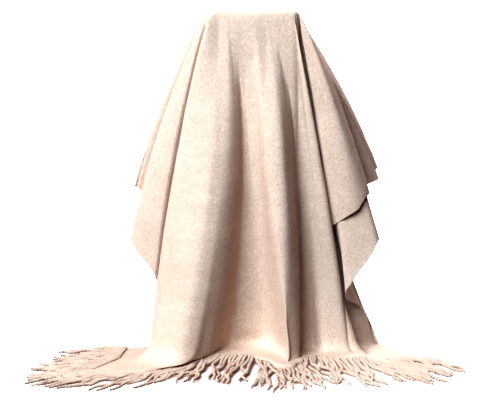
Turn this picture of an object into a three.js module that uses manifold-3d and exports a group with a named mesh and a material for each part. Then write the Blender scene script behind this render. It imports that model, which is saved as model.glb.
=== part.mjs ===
// A fringed pashmina shawl draped over a square plinth, in millimetres, +Z up, with the front towards -Y.
// The origin is the middle of the plinth's underside, on the floor.
// The cloth lies on the plinth's top, falls over its four edges and hangs in folds at the corners. Its two ends
// reach the floor in front and behind, where they spread out and end in a twisted fringe.
import * as THREE from "three";
import { mergeVertices } from "three/addons/utils/BufferGeometryUtils.js";
import Module from "manifold-3d";

const wasm = await Module();
wasm.setup();

// The plinth.
const PLINTH_SIDE = 188;
const PLINTH_HEIGHT = 720;
const PLINTH_CORNER = 12;
const PLINTH_EDGE = 6;

// The cloth, as woven: its width, and how far each fringed end lies from the plinth's edge.
const SHAWL_WIDTH = 1000;
const WALL = 1.6;
const CLEAR = 0.5;
const SEAM = 0.3;

// The fringe of one end.
const STRANDS = 64;
const STRAND_LENGTH = 122;
const STRAND_SIDES = 3;
const STRAND_REST = 3.2;
const STRAND_STATIONS = [
  { share: 0, radius: 0.6 },
  { share: 0.12, radius: 2.8 },
  { share: 0.55, radius: 2.6 },
  { share: 1, radius: 1.9 },
];
const STRIP_WIDTH = 5;

// The middle of the cloth's thickness: the rim is where it hangs straight down past the plinth's edge.
const OFFSET = CLEAR + WALL / 2;
const TOP_Z = PLINTH_HEIGHT + OFFSET;
const RIM_HALF = PLINTH_SIDE / 2 + OFFSET;
const RIM_CORNER = PLINTH_CORNER + OFFSET;
const BEND = PLINTH_EDGE + OFFSET;
const RIM_STRAIGHT = RIM_HALF - RIM_CORNER;
const SIDE_PITCH = 2 * RIM_STRAIGHT + (RIM_CORNER * Math.PI) / 2;
const SIDE_DROP = SHAWL_WIDTH / 2 - RIM_HALF;
const FLOOR_Z = WALL / 2;

// The three heights at which the folds are set out: the rim, the side edges of the cloth and the floor.
const HIGH_Z = 345;
const FOOT_Z = 20;
const LANDING_Z = 70;
const HIGH_SHARE = (TOP_Z - HIGH_Z) / (TOP_Z - FOOT_Z);
// A hanging fold's foot, were it long enough, as a multiple of its reach at the side edge's height.
const FLARE = 1.4;
// A fold turns over this far to each side of its place, and takes up this share of the way to the next.
const TURN_HALF = 7;
const TURN_SHARE = 0.13;
// Below the plinth's edge the cloth stands off its sides by up to this much more.
const STAND_OFF = 6;
// Near the rim the folds blend into one another, over this many columns, down to about this drop.
const BLEND_COLUMNS = 4.5;
const BLEND_DROP = { edge: 120, corner: 200 };
const COLUMN_PITCH = 28;

// The folds in order round the plinth, seen from above, from the front middle to the right, the back and the left.
// along: millimetres along the plinth's edge from its middle. fan: degrees by which the cloth has turned about the
// plinth's corner. high: where the fold stands at the height of the side edges. foot: where it meets the floor, or
// would, were it long enough. hem: where the cloth ends, and how high it lies there. fringe: degrees by which the
// strands turn from straight ahead.
const EDGE = RIM_STRAIGHT;
const SEAM_FAN = 34;
const FRONT_FOLDS = [
  { name: "left side edge", along: -EDGE, fan: -SEAM_FAN, high: [-142, -63], foot: [-203, -64], hem: [-216, -64, 0.8], fringe: -55 },
  { name: "left end corner", along: -EDGE, fan: -27.5, high: [-132, -78], foot: [-190, -84], hem: [-270, -82, 0.8], fringe: -62 },
  { name: "left tuck", along: -EDGE, fan: -22, high: [-124, -92], foot: [-178, -106], hem: [-284, -146, 1.4], fringe: -74 },
  { name: "left train", along: -EDGE, fan: -14, high: [-166, -112], foot: [-212, -142], hem: [-322, -234, 2], fringe: -80 },
  { name: "left crest", along: -60, fan: 0, high: [-95, -150], foot: [-148, -186], hem: [-166, -226, 3], fringe: -46 },
  { name: "left swag", along: -40, fan: 0, high: [-58, -130], foot: [-92, -148], hem: [-108, -179, 12], fringe: -22 },
  { name: "deep valley", along: -20, fan: 0, high: [-24, -106], foot: [-38, -130], hem: [-44, -178, 8], fringe: -8 },
  { name: "middle arch", along: 10, fan: 0, high: [18, -128], foot: [20, -158], hem: [16, -212, 13], fringe: -2 },
  { name: "middle crest", along: 40, fan: 0, high: [54, -152], foot: [66, -194], hem: [70, -206, 4], fringe: 6 },
  { name: "right valley", along: 62, fan: 0, high: [98, -106], foot: [102, -134], hem: [112, -154, 7], fringe: 10 },
  { name: "right crest", along: EDGE, fan: 6, high: [140, -132], foot: [182, -172], hem: [188, -184, 14], fringe: 14 },
  { name: "right edge fold", along: EDGE, fan: 14, high: [154, -112], foot: [207, -150], hem: [226, -176, 13], fringe: 22 },
  { name: "right tuck", along: EDGE, fan: 19, high: [126, -102], foot: [182, -124], hem: [262, -184, 8], fringe: 30 },
  { name: "right corner fold", along: EDGE, fan: 22.5, high: [132, -92], foot: [222, -130], hem: [290, -190, 8], fringe: 42 },
  { name: "right under fold", along: EDGE, fan: 25, high: [116, -82], foot: [196, -100], hem: [289, -157, 1.4], fringe: 40 },
  { name: "right end corner", along: EDGE, fan: 27.5, high: [126, -71], foot: [222, -84], hem: [341, -143, 0.8], fringe: 42 },
  { name: "right side edge", along: EDGE, fan: SEAM_FAN, high: [150, -66], foot: [272, -50], hem: [280, -46, 0.8], fringe: 50 },
];
const RIGHT_FOLDS = [
  { name: "front low band", along: -EDGE, fan: -49, high: [166, -54], foot: [276, -30] },
  { name: "front low tip", along: -EDGE, fan: -44, high: [200, -44] },
  { name: "front low flap", along: -EDGE, fan: -37, high: [226, -62], foot: [316, -24] },
  { name: "front tuck", along: -EDGE, fan: -29, high: [166, -88] },
  { name: "front flap", along: -EDGE, fan: -9, high: [243, -74] },
  { name: "side front valley", along: -EDGE + 14, fan: 0, high: [239, -34] },
  { name: "side crest", along: -18, fan: 0, high: [278, -12] },
  { name: "side valley", along: 40, fan: 0, high: [254, 48] },
  { name: "back flap", along: EDGE, fan: 7, high: [290, 122] },
  { name: "back tuck", along: EDGE, fan: 28, high: [158, 58] },
  { name: "back low flap", along: EDGE, fan: 40, high: [218, 107] },
];
const BACK_FOLDS = [
  { name: "back right side edge", along: -EDGE, fan: -SEAM_FAN, high: [146, 88], foot: [196, 82], hem: [208, 82, 0.8], fringe: 0 },
  { name: "back right corner", along: -EDGE, fan: -27.5, high: [131, 95], foot: [184, 98], hem: [222, 146, 0.8], fringe: 2 },
  { name: "back right tuck", along: -EDGE, fan: -22, high: [117, 105], foot: [166, 118], hem: [208, 172, 1.4], fringe: 6 },
  { name: "back right edge fold", along: -EDGE, fan: -12, high: [152, 130], foot: [184, 156], hem: [194, 212, 3], fringe: 8 },
  { name: "back right crest", along: -58, fan: 0, high: [108, 150], foot: [128, 190], hem: [136, 232, 2], fringe: 8 },
  { name: "back right valley", along: -30, fan: 0, high: [60, 108], foot: [76, 138], hem: [80, 186, 8], fringe: 4 },
  { name: "back middle crest", along: 0, fan: 0, high: [8, 148], foot: [10, 192], hem: [8, 238, 2], fringe: 0 },
  { name: "back left valley", along: 32, fan: 0, high: [-48, 108], foot: [-58, 136], hem: [-62, 184, 8], fringe: -5 },
  { name: "back left crest", along: 60, fan: 0, high: [-104, 148], foot: [-126, 188], hem: [-134, 230, 2], fringe: -8 },
  { name: "back left edge fold", along: EDGE, fan: 12, high: [-154, 126], foot: [-184, 152], hem: [-196, 206, 3], fringe: -8 },
  { name: "back left tuck", along: EDGE, fan: 22, high: [-117, 105], foot: [-166, 118], hem: [-207, 170, 1.4], fringe: -6 },
  { name: "back left corner", along: EDGE, fan: 27.5, high: [-131, 95], foot: [-184, 98], hem: [-221, 144, 0.8], fringe: -2 },
  { name: "back left side edge", along: EDGE, fan: SEAM_FAN, high: [-146, 88], foot: [-194, 82], hem: [-206, 82, 0.8], fringe: 0 },
];
const LEFT_FOLDS = [
  { name: "back low flap", along: -EDGE, fan: -40, high: [-214, 108] },
  { name: "back tuck", along: -EDGE, fan: -28, high: [-154, 62] },
  { name: "back flap", along: -EDGE, fan: -10, high: [-238, 64] },
  { name: "side middle", along: 0, fan: 0, high: [-230, 14] },
  { name: "front flap", along: EDGE, fan: 10, high: [-249, -28] },
  { name: "front tuck", along: EDGE, fan: 27, high: [-154, -44] },
  { name: "front low flap", along: EDGE, fan: 38, high: [-228, -68] },
  { name: "front low tip", along: EDGE, fan: 44.5, high: [-182, -93] },
];
const FALLS = [
  { node: "front_fall", folds: FRONT_FOLDS, lands: true },
  { node: "right_fall", folds: RIGHT_FOLDS, lands: false },
  { node: "back_fall", folds: BACK_FOLDS, lands: true },
  { node: "left_fall", folds: LEFT_FOLDS, lands: false },
];

// Rows down a fall: round the plinth's edge, hanging, landing, and along the floor.
const BEND_ROWS = 3;
const HANG_ROWS = 7;
const LANDING_ROWS = 3;
const FLOOR_ROWS = 2;
// The share of a hanging column's length that its upper rows take.
const HANG_PART = 0.9;

const CLOTH = new THREE.MeshStandardMaterial({ color: 0xe3cabd, roughness: 0.95, metalness: 0 });
const FRINGE = new THREE.MeshStandardMaterial({ color: 0xe6d0c4, roughness: 0.95, metalness: 0 });
const PAINT = new THREE.MeshStandardMaterial({ color: 0xf1efec, roughness: 0.6, metalness: 0 });

// The point of the rim at a distance round it from the front middle, with its outward direction.
function rimAt(distance) {
  const side = Math.round(distance / SIDE_PITCH);
  const along = distance - side * SIDE_PITCH;
  const past = Math.max(0, Math.abs(along) - RIM_STRAIGHT) * Math.sign(along);
  const turn = (side - 1) * (Math.PI / 2) + past / RIM_CORNER;
  const outward = new THREE.Vector2(Math.cos(turn), Math.sin(turn));
  const facing = new THREE.Vector2(Math.cos((side - 1) * (Math.PI / 2)), Math.sin((side - 1) * (Math.PI / 2)));
  const sideways = new THREE.Vector2(-facing.y, facing.x);
  const point = facing.clone().multiplyScalar(RIM_STRAIGHT).addScaledVector(sideways, along - past);
  return { point: point.addScaledVector(outward, RIM_CORNER), outward };
}

// How far the cloth reaches down from the plinth's corner to its side edge, at an angle of the fan.
function sideReach(fan) {
  return SIDE_DROP / Math.sin(THREE.MathUtils.degToRad(fan));
}

// A Catmull-Rom value at t between b and c.
function spline(a, b, c, d, t) {
  const cubic = -a + 3 * b - 3 * c + d;
  const square = 2 * a - 5 * b + 4 * c - d;
  return 0.5 * (2 * b + (c - a) * t + square * t * t + cubic * t * t * t);
}

// A point kept clear of the plinth, by a gap between the plinth and the middle of the cloth's thickness.
function keptClear(x, y, gap) {
  const straight = PLINTH_SIDE / 2 - PLINTH_CORNER;
  const [overX, overY] = [Math.max(0, Math.abs(x) - straight), Math.max(0, Math.abs(y) - straight)];
  const far = Math.hypot(overX, overY);
  const short = PLINTH_CORNER + gap - far;
  if (short <= 0 || far === 0) return [x, y];
  return [x + (Math.sign(x) * short * overX) / far, y + (Math.sign(y) * short * overY) / far];
}

// The numbers of one fold: distance round the rim, angle of the fan from the fringed side, and its places.
function foldValues(fold, side) {
  const distance = side * SIDE_PITCH + fold.along + RIM_CORNER * THREE.MathUtils.degToRad(fold.fan);
  const rim = rimAt(distance).point;
  const high = [fold.high[0] - rim.x, fold.high[1] - rim.y];
  const foot = fold.foot ? [fold.foot[0] - rim.x, fold.foot[1] - rim.y] : high.map((v) => v * FLARE);
  const hem = fold.hem ?? [rim.x + foot[0], rim.y + foot[1], FLOOR_Z];
  const turned = FALLS[side].lands ? Math.abs(fold.fan) : 90 - Math.abs(fold.fan);
  const blend = Math.abs(fold.fan) > 5 ? BLEND_DROP.corner : BLEND_DROP.edge;
  return [distance, turned, ...high, ...foot, ...hem, fold.fringe ?? 0, blend];
}

// One fold as the two ends of its turn, which lie to each side of its place, square to the way it points.
function turnEnds(before, values, after) {
  return [-1, 1].map((sign) => {
    const end = [...values];
    for (const n of [2, 4, 6]) {
      const at = new THREE.Vector2(values[n], values[n + 1]);
      const back = new THREE.Vector2(before[n], before[n + 1]).sub(at);
      const on = new THREE.Vector2(after[n], after[n + 1]).sub(at);
      const half = Math.min(TURN_HALF, 0.3 * back.length(), 0.3 * on.length());
      const over = on.normalize().sub(back.normalize()).normalize().multiplyScalar(sign * half);
      end[n] += over.x;
      end[n + 1] += over.y;
    }
    const next = sign > 0 ? after : before;
    for (const n of [0, 1, 8, 9, 10]) end[n] += TURN_SHARE * (next[n] - values[n]);
    return end;
  });
}

// The columns of the cloth round the whole ring. Each is on a fall; a fall that lands owns both of its seams.
function ringColumns() {
  const folds = FALLS.flatMap((fall, side) => fall.folds.map((fold) => ({ side, values: foldValues(fold, side) })));
  const lap = 4 * SIDE_PITCH;
  const around = (list, i) => {
    const values = [...list[(i + list.length) % list.length].values];
    values[0] += lap * Math.floor(i / list.length);
    return values;
  };
  const rows = folds.flatMap(({ side, values }, i) => {
    const seam = folds[(i + 1) % folds.length].side !== side || folds[(i + folds.length - 1) % folds.length].side !== side;
    if (seam && FALLS[side].lands) return [{ side, values }];
    return turnEnds(around(folds, i - 1), values, around(folds, i + 1)).map((end) => ({ side, values: end }));
  });
  const at = (i) => around(rows, i);
  const columns = [];
  rows.forEach((row, i) => {
    const [a, b, c, d] = [at(i - 1), at(i), at(i + 1), at(i + 2)];
    const span = Math.max(Math.hypot(c[4] - b[4], c[5] - b[5]), Math.hypot(c[6] - b[6], c[7] - b[7]));
    const steps = Math.max(1, Math.round(span / COLUMN_PITCH));
    const next = rows[(i + 1) % rows.length];
    for (let k = 0; k < steps; k++) {
      const values = b.map((_, n) => spline(a[n], b[n], c[n], d[n], k / steps));
      values[0] = THREE.MathUtils.lerp(b[0], c[0], k / steps);
      values[1] = THREE.MathUtils.lerp(b[1], c[1], k / steps);
      const side = k > 0 && FALLS[row.side].lands && !FALLS[next.side].lands ? next.side : row.side;
      columns.push({ side, values });
    }
  });
  return columns.map(({ side, values }) => ({
    side,
    rim: rimAt(values[0]),
    reach: values[1] > 1 ? sideReach(values[1]) : Infinity,
    high: values.slice(2, 4),
    foot: values.slice(4, 6),
    hem: new THREE.Vector3(values[6], values[7], Math.max(FLOOR_Z, values[8])),
    fringe: values[9],
    blend: values[10],
  }));
}

// Where each column stands in plan at a height, as an offset from its place on the rim.
function sectionAt(columns, z) {
  const drop = TOP_Z - z;
  const share = drop / (TOP_Z - FOOT_Z);
  const raw = columns.map(({ high, foot }) => {
    return high.map((h, n) => {
      const curve = (foot[n] * HIGH_SHARE - h) / (HIGH_SHARE - HIGH_SHARE * HIGH_SHARE);
      return (foot[n] - curve) * share + curve * share * share;
    });
  });
  const window = Math.ceil(3 * BLEND_COLUMNS);
  return raw.map(([rawX, rawY], i) => {
    const sum = [0, 0];
    let total = 0;
    for (let k = -window; k <= window; k++) {
      const weight = Math.exp(-0.5 * (k / BLEND_COLUMNS) ** 2);
      const [x, y] = raw[(i + k + raw.length) % raw.length];
      sum[0] += weight * x;
      sum[1] += weight * y;
      total += weight;
    }
    const { point } = columns[i].rim;
    const blend = Math.exp(-((drop / columns[i].blend) ** 2));
    const [x, y] = [rawX, rawY].map((v, n) => THREE.MathUtils.lerp(v, sum[n] / total, blend));
    return keptClear(point.x + x, point.y + y, OFFSET + Math.min(STAND_OFF, 0.05 * drop));
  });
}

const HANG_START_Z = TOP_Z - BEND;
const LEVEL_COUNT = 60;

// The hanging line of every column, as points at even heights from the rim to just above the floor.
function hangingLines(columns) {
  const levels = Array.from({ length: LEVEL_COUNT + 1 }, (_, i) => {
    return THREE.MathUtils.lerp(HANG_START_Z, FOOT_Z, i / LEVEL_COUNT);
  });
  const sections = levels.map((z) => sectionAt(columns, z));
  return columns.map((_, j) => {
    return levels.map((z, i) => {
      const [x, y] = sections[i][j];
      return new THREE.Vector3(x, y, z);
    });
  });
}

// Points along a line at the given distances, or at its end.
function pointsAlong(line, distances) {
  const far = [0];
  for (let i = 1; i < line.length; i++) far.push(far[i - 1] + line[i].distanceTo(line[i - 1]));
  return distances.map((distance) => {
    const want = Math.min(distance, far[far.length - 1]);
    const i = Math.max(1, far.findIndex((f) => f >= want - 1e-9));
    const t = (want - far[i - 1]) / Math.max(1e-9, far[i] - far[i - 1]);
    return line[i - 1].clone().lerp(line[i], t);
  });
}

function lengthOf(line) {
  return line.slice(1).reduce((sum, p, i) => sum + p.distanceTo(line[i]), 0);
}

function evenly(count, from, to) {
  return Array.from({ length: count }, (_, k) => THREE.MathUtils.lerp(from, to, k / (count - 1)));
}

// The quarter round of a column over the plinth's edge.
function bendPoints({ rim }) {
  return Array.from({ length: BEND_ROWS }, (_, i) => {
    const angle = ((Math.PI / 2) * i) / BEND_ROWS;
    const plan = rim.point.clone().addScaledVector(rim.outward, BEND * (Math.sin(angle) - 1));
    return new THREE.Vector3(plan.x, plan.y, TOP_Z - BEND * (1 - Math.cos(angle)));
  });
}

// A column that reaches the floor: it hangs, lands in a soft bend and runs out to the hem.
function landingColumn(column, line) {
  const high = line.filter((p) => p.z > LANDING_Z);
  const start = high[high.length - 1];
  const foot = new THREE.Vector3(
    column.rim.point.x + column.foot[0],
    column.rim.point.y + column.foot[1],
    column.hem.z,
  );
  const flat = foot.clone().lerp(column.hem, 0.4);
  const bend = new THREE.QuadraticBezierCurve3(start, foot, flat).getPoints(LANDING_ROWS);
  const floor = new THREE.LineCurve3(flat, column.hem).getPoints(FLOOR_ROWS);
  const hang = pointsAlong(high, evenly(HANG_ROWS + 1, 0, lengthOf(high)));
  return [...bendPoints(column), ...hang, ...bend.slice(1), ...floor.slice(1)];
}

// A column that ends in the air at the cloth's side edge.
function hangingColumn(column, line) {
  const reach = Math.min(column.reach - (BEND * Math.PI) / 2, lengthOf(line));
  const upper = evenly(HANG_ROWS + 1, 0, HANG_PART * reach);
  const lower = evenly(LANDING_ROWS + FLOOR_ROWS + 1, HANG_PART * reach, reach);
  return [...bendPoints(column), ...pointsAlong(line, [...upper, ...lower.slice(1)])];
}

// The unit normals of the ring's points, facing away from the plinth. The first row faces up.
function ringNormals(grid) {
  const faces = grid.map((column, i) => {
    const next = grid[(i + 1) % grid.length];
    return column.slice(1).map((low, j) => {
      const falling = next[j + 1].clone().sub(column[j]);
      return falling.cross(next[j].clone().sub(low)).normalize();
    });
  });
  return grid.map((column, i) => {
    const before = faces[(i + grid.length - 1) % grid.length];
    return column.map((_, j) => {
      if (j === 0) return new THREE.Vector3(0, 0, 1);
      const sum = new THREE.Vector3();
      for (const face of [before[j - 1], faces[i][j - 1], before[j], faces[i][j]]) {
        if (face) sum.add(face);
      }
      return sum.normalize();
    });
  });
}

// A closed wall of the cloth's thickness on a grid of points and their normals, columns by rows.
function wallGeometry(grid, normals) {
  const columns = grid.length;
  const rows = grid[0].length;
  const positions = [];
  for (const side of [1, -1]) {
    grid.forEach((column, i) => {
      column.forEach((point, j) => {
        const p = point.clone().addScaledVector(normals[i][j], (side * WALL) / 2);
        positions.push(p.x, p.y, Math.max(0, p.z));
      });
    });
  }
  const at = (side, i, j) => side * columns * rows + i * rows + j;
  const index = [];
  const quad = (a, b, c, d) => index.push(a, b, c, a, c, d);
  for (let i = 0; i + 1 < columns; i++) {
    for (let j = 0; j + 1 < rows; j++) {
      quad(at(0, i, j), at(0, i, j + 1), at(0, i + 1, j + 1), at(0, i + 1, j));
      quad(at(1, i, j), at(1, i + 1, j), at(1, i + 1, j + 1), at(1, i, j + 1));
    }
    quad(at(0, i, 0), at(0, i + 1, 0), at(1, i + 1, 0), at(1, i, 0));
    quad(at(0, i + 1, rows - 1), at(0, i, rows - 1), at(1, i, rows - 1), at(1, i + 1, rows - 1));
  }
  for (let j = 0; j + 1 < rows; j++) {
    quad(at(0, 0, j + 1), at(0, 0, j), at(1, 0, j), at(1, 0, j + 1));
    const end = columns - 1;
    quad(at(0, end, j), at(0, end, j + 1), at(1, end, j + 1), at(1, end, j));
  }
  const geometry = new THREE.BufferGeometry();
  geometry.setAttribute("position", new THREE.Float32BufferAttribute(positions, 3));
  geometry.setIndex(index);
  return geometry;
}

function solidOf(geometry) {
  const merged = mergeVertices(geometry, 1e-4);
  return new wasm.Manifold(
    new wasm.Mesh({
      numProp: 3,
      vertProperties: merged.attributes.position.array,
      triVerts: new Uint32Array(merged.index.array),
    }),
  );
}

function geometryOf(solid) {
  const mesh = solid.getMesh();
  const geometry = new THREE.BufferGeometry();
  geometry.setAttribute("position", new THREE.Float32BufferAttribute(mesh.vertProperties, 3));
  geometry.setIndex([...mesh.triVerts]);
  return geometry;
}

// A strand along a curve, thin at its root, closed at both ends.
function strandGeometry(curve) {
  const positions = [];
  const index = [];
  const up = new THREE.Vector3(0, 0, 1);
  for (const { share, radius } of STRAND_STATIONS) {
    const centre = curve.getPoint(share);
    const ahead = curve.getTangent(share);
    const across = ahead.clone().cross(up).normalize();
    const lift = across.clone().cross(ahead);
    for (let k = 0; k < STRAND_SIDES; k++) {
      const angle = (2 * Math.PI * k) / STRAND_SIDES + Math.PI / 2;
      const p = centre.clone().addScaledVector(across, radius * Math.cos(angle));
      p.addScaledVector(lift, radius * Math.sin(angle));
      positions.push(p.x, p.y, p.z);
    }
  }
  for (let i = 0; i + 1 < STRAND_STATIONS.length; i++) {
    for (let k = 0; k < STRAND_SIDES; k++) {
      const [a, b] = [i * STRAND_SIDES + k, i * STRAND_SIDES + ((k + 1) % STRAND_SIDES)];
      index.push(a, a + STRAND_SIDES, b + STRAND_SIDES, a, b + STRAND_SIDES, b);
    }
  }
  const end = (STRAND_STATIONS.length - 1) * STRAND_SIDES;
  for (let k = 1; k + 1 < STRAND_SIDES; k++) {
    index.push(0, k, k + 1);
    index.push(end, end + k + 1, end + k);
  }
  const geometry = new THREE.BufferGeometry();
  geometry.setAttribute("position", new THREE.Float32BufferAttribute(positions, 3));
  geometry.setIndex(index);
  return geometry;
}

// The fringe of one end: strands at even distances along the hem, fused into their strip.
function fringeSolid(hemColumns, facing) {
  const far = [0];
  for (let i = 1; i < hemColumns.length; i++) {
    far.push(far[i - 1] + hemColumns[i].end.distanceTo(hemColumns[i - 1].end));
  }
  const length = far[far.length - 1];
  const strip = hemColumns.map(({ end, ahead }) => {
    return [SEAM, SEAM + STRIP_WIDTH].map((past) => end.clone().addScaledVector(ahead, past));
  });
  let solid = solidOf(wallGeometry(strip, hemColumns.map(({ normal }) => [normal, normal])));
  for (let s = 0; s < STRANDS; s++) {
    const want = (length * (s + 0.5)) / STRANDS;
    const i = far.findIndex((f) => f >= want);
    const t = (want - far[i - 1]) / (far[i] - far[i - 1]);
    const [a, b] = [hemColumns[i - 1], hemColumns[i]];
    const ahead = a.ahead.clone().lerp(b.ahead, t).normalize();
    const root = a.end.clone().lerp(b.end, t).addScaledVector(ahead, SEAM + 0.5 * STRIP_WIDTH);
    const turn = THREE.MathUtils.degToRad(THREE.MathUtils.lerp(a.fringe, b.fringe, t));
    const away = new THREE.Vector3(Math.sin(turn), facing * Math.cos(turn), 0);
    const middle = root.clone().addScaledVector(ahead, 20).addScaledVector(away, 20);
    middle.z = STRAND_REST + 0.4 * Math.max(0, root.z - STRAND_REST);
    const tip = middle.clone().addScaledVector(away, STRAND_LENGTH - 40);
    tip.z = STRAND_REST;
    solid = solid.add(solidOf(strandGeometry(new THREE.QuadraticBezierCurve3(root, middle, tip))));
  }
  return solid;
}

function roundedSquare(half, corner) {
  const shape = new THREE.Shape();
  const straight = half - corner;
  shape.moveTo(half, -straight);
  shape.absarc(straight, straight, corner, 0, Math.PI / 2);
  shape.absarc(-straight, straight, corner, Math.PI / 2, Math.PI);
  shape.absarc(-straight, -straight, corner, Math.PI, 1.5 * Math.PI);
  shape.absarc(straight, -straight, corner, 1.5 * Math.PI, 2 * Math.PI);
  return shape;
}

function plinthGeometry() {
  const shape = roundedSquare(PLINTH_SIDE / 2 - PLINTH_EDGE, PLINTH_CORNER - PLINTH_EDGE);
  const geometry = new THREE.ExtrudeGeometry(shape, {
    depth: PLINTH_HEIGHT - 2 * PLINTH_EDGE,
    bevelEnabled: true,
    bevelThickness: PLINTH_EDGE,
    bevelSize: PLINTH_EDGE,
    bevelSegments: 3,
    curveSegments: 3,
  });
  return geometry.translate(0, 0, PLINTH_EDGE);
}

// The cloth that lies on the plinth's top, up to where it bends over the edge.
function topGeometry() {
  const half = RIM_HALF - BEND - SEAM;
  const shape = roundedSquare(half, RIM_CORNER - BEND - SEAM);
  const geometry = new THREE.ExtrudeGeometry(shape, { depth: WALL, bevelEnabled: false, curveSegments: 3 });
  return geometry.translate(0, 0, TOP_Z - WALL / 2);
}

function named(name, geometry, material) {
  const mesh = new THREE.Mesh(geometry, material);
  mesh.name = name;
  return mesh;
}

// The grid of a fall, with its first and last columns drawn in by half the seam.
function fallGrid(lines) {
  const grid = lines.map((line) => line.map((p) => p.clone()));
  const draw = (edge, inner) => {
    const down = edge.map((p, j) => edge[Math.min(j + 1, edge.length - 1)].clone().sub(edge[Math.max(j - 1, 0)]).normalize());
    edge.forEach((p, j) => {
      const gap = inner[j].clone().sub(p);
      gap.addScaledVector(down[j], -gap.dot(down[j]));
      p.addScaledVector(gap, Math.min(0.6, (0.6 * SEAM) / gap.length()));
    });
  };
  draw(grid[0], grid[1]);
  draw(grid[grid.length - 1], grid[grid.length - 2]);
  return grid;
}

const columns = ringColumns();
const lines = hangingLines(columns);
const ring = columns.map((column, i) => {
  return FALLS[column.side].lands ? landingColumn(column, lines[i]) : hangingColumn(column, lines[i]);
});
const normals = ringNormals(ring);
const part = new THREE.Group();
part.add(named("plinth", plinthGeometry(), PAINT));
part.add(named("top_panel", topGeometry(), CLOTH));

FALLS.forEach((fall, side) => {
  const mine = columns.map((_, i) => i).filter((i) => columns[i].side === side);
  if (!fall.lands) {
    // A fall that hangs shares the seams of its neighbours.
    mine.unshift((mine[0] + columns.length - 1) % columns.length);
    mine.push((mine[mine.length - 1] + 1) % columns.length);
  }
  const grid = fallGrid(mine.map((i) => ring[i]));
  const facing = mine.map((i) => normals[i]);
  part.add(named(fall.node, wallGeometry(grid, facing), CLOTH));
  if (!fall.lands) return;
  // The hem runs between the end corners, where the cloth reaches its side edges.
  const hem = grid
    .map((line, i) => ({
      end: line[line.length - 1],
      normal: facing[i][line.length - 1],
      fringe: columns[mine[i]].fringe,
      reach: columns[mine[i]].reach,
    }))
    .filter(({ reach }) => reach > sideReach(28));
  hem.forEach((place, i) => {
    const tangent = hem[Math.min(i + 1, hem.length - 1)].end.clone().sub(hem[Math.max(i - 1, 0)].end);
    place.ahead = tangent.cross(place.normal).normalize();
  });
  const solid = fringeSolid(hem, side === 0 ? -1 : 1);
  part.add(named(fall.node.replace("fall", "fringe"), geometryOf(solid), FRINGE));
});

export default part;
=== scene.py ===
"""A fringed pashmina shawl draped over a square display plinth, on a plain pale floor.

The cloth is one thin shell. It lies on the plinth's top, falls over its four edges in soft folds, reaches the
floor in front and behind, and ends there in a fringe of twisted strands.
"""
import math
from collections import namedtuple

import bpy
import numpy as np
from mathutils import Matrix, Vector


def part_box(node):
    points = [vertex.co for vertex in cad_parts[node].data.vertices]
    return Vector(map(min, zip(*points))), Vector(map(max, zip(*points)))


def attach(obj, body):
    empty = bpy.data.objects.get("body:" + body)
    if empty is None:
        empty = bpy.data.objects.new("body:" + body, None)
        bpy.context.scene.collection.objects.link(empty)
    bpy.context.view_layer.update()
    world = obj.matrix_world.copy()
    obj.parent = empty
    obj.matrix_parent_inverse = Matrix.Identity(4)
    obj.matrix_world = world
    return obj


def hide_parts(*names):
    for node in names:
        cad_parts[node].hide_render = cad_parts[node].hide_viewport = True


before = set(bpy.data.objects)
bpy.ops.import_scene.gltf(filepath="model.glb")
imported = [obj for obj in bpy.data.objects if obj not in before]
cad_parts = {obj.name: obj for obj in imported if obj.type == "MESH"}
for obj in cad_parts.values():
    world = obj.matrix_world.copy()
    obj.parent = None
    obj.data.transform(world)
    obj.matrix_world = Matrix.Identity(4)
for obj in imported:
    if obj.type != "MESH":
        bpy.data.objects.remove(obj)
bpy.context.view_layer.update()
PLINTH_LOW, PLINTH_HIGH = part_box("plinth")

bl_info = {
    "name": "Draped pashmina shawl",
    "version": (1, 0, 0),
    "blender": (4, 5, 0),
    "location": "View3D > Sidebar > Shawl",
    "description": "Makes a fringed shawl that is draped over a square plinth",
    "category": "Add Mesh",
}

MM = 0.001

# The cloth as it was woven, in millimetres.
SHAWL_WIDTH = 1000.0

# The plinth, and the middle of the cloth's thickness on it.
PLINTH_SIDE = (PLINTH_HIGH[0] - PLINTH_LOW[0]) / MM
PLINTH_HEIGHT = PLINTH_HIGH[2] / MM
PLINTH_CORNER = 12.0
PLINTH_EDGE = 6.0
OFFSET = 1.3
TOP_Z = PLINTH_HEIGHT + OFFSET
RIM_HALF = PLINTH_SIDE / 2 + OFFSET
RIM_CORNER = PLINTH_CORNER + OFFSET
BEND = PLINTH_EDGE + OFFSET
RIM_STRAIGHT = RIM_HALF - RIM_CORNER
SIDE_PITCH = 2 * RIM_STRAIGHT + RIM_CORNER * math.pi / 2
SIDE_DROP = SHAWL_WIDTH / 2 - RIM_HALF
FLOOR_Z = 0.8

# The heights at which the folds are set out: the side edges of the cloth, the floor and the start of the landing.
HIGH_Z = 345.0
FOOT_Z = 20.0
LANDING_Z = 46.0
HIGH_SHARE = (TOP_Z - HIGH_Z) / (TOP_Z - FOOT_Z)
FLARE = 1.4
NEAR_SHARE = 0.16
TURN_SHARE = 0.13
STAND_OFF = 6.0
BLEND_COLUMNS = 4.5
BLEND_EDGE_DROP = 120.0
BLEND_CORNER_DROP = 26.0
COLUMN_PITCH = 28.0
FINE = 3
WAVE_COLUMNS = 4

# Rows down a fall: on the plinth's edge, hanging, landing and along the floor.
BEND_ROWS = 6
HANG_ROWS = 58
LANDING_ROWS = 12
FLOOR_ROWS = 16
HANG_PART = 0.9

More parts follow.
